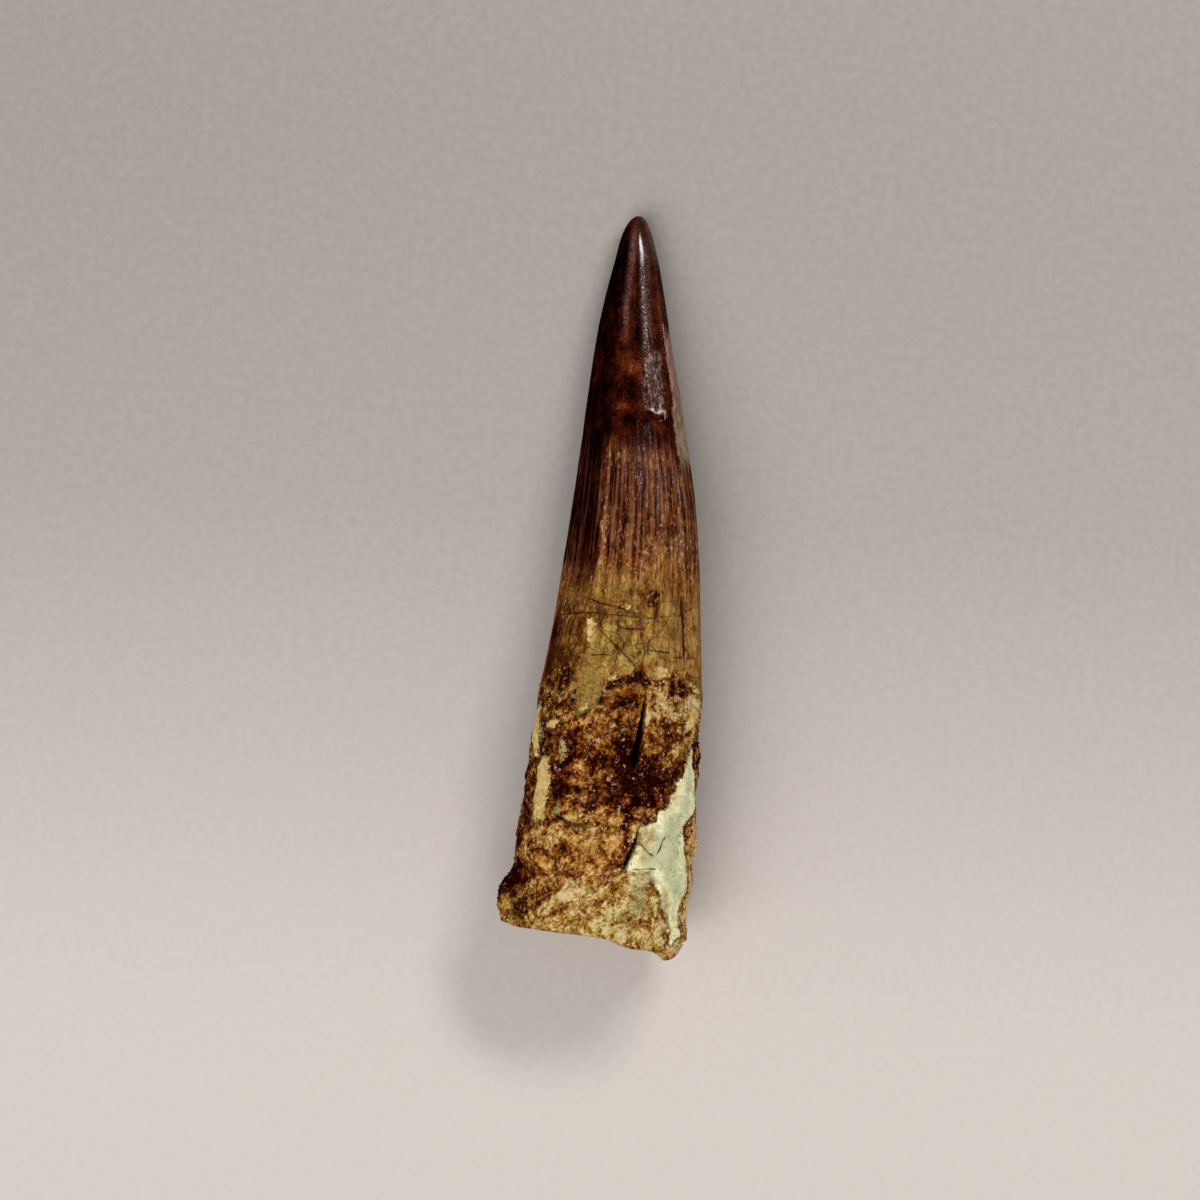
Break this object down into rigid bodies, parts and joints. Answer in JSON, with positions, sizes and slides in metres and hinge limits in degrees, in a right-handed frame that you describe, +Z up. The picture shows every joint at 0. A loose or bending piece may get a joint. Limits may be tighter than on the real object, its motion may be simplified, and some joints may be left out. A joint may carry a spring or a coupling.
{
  "type": "spinosaurus tooth",
  "caption": "Fossil dinosaur tooth: a long fluted cone with a polished blunt tip and a rough, cracked root stump, lying on its side on a small flat spot.",
  "frame": {"origin": "the middle of the tooth's footprint, on the surface it lies on", "axes": "+Y along the tooth towards its tip, +Z up, out of the face that shows best, +X to the right of that face with the tip away from the viewer"},
  "size_m": [0.0264, 0.0996, 0.0191],
  "materials": {
    "fossil": "satin"
  },
  "bodies": {
    "root": {"tooth": "fossil"}
  },
  "joints": []
}
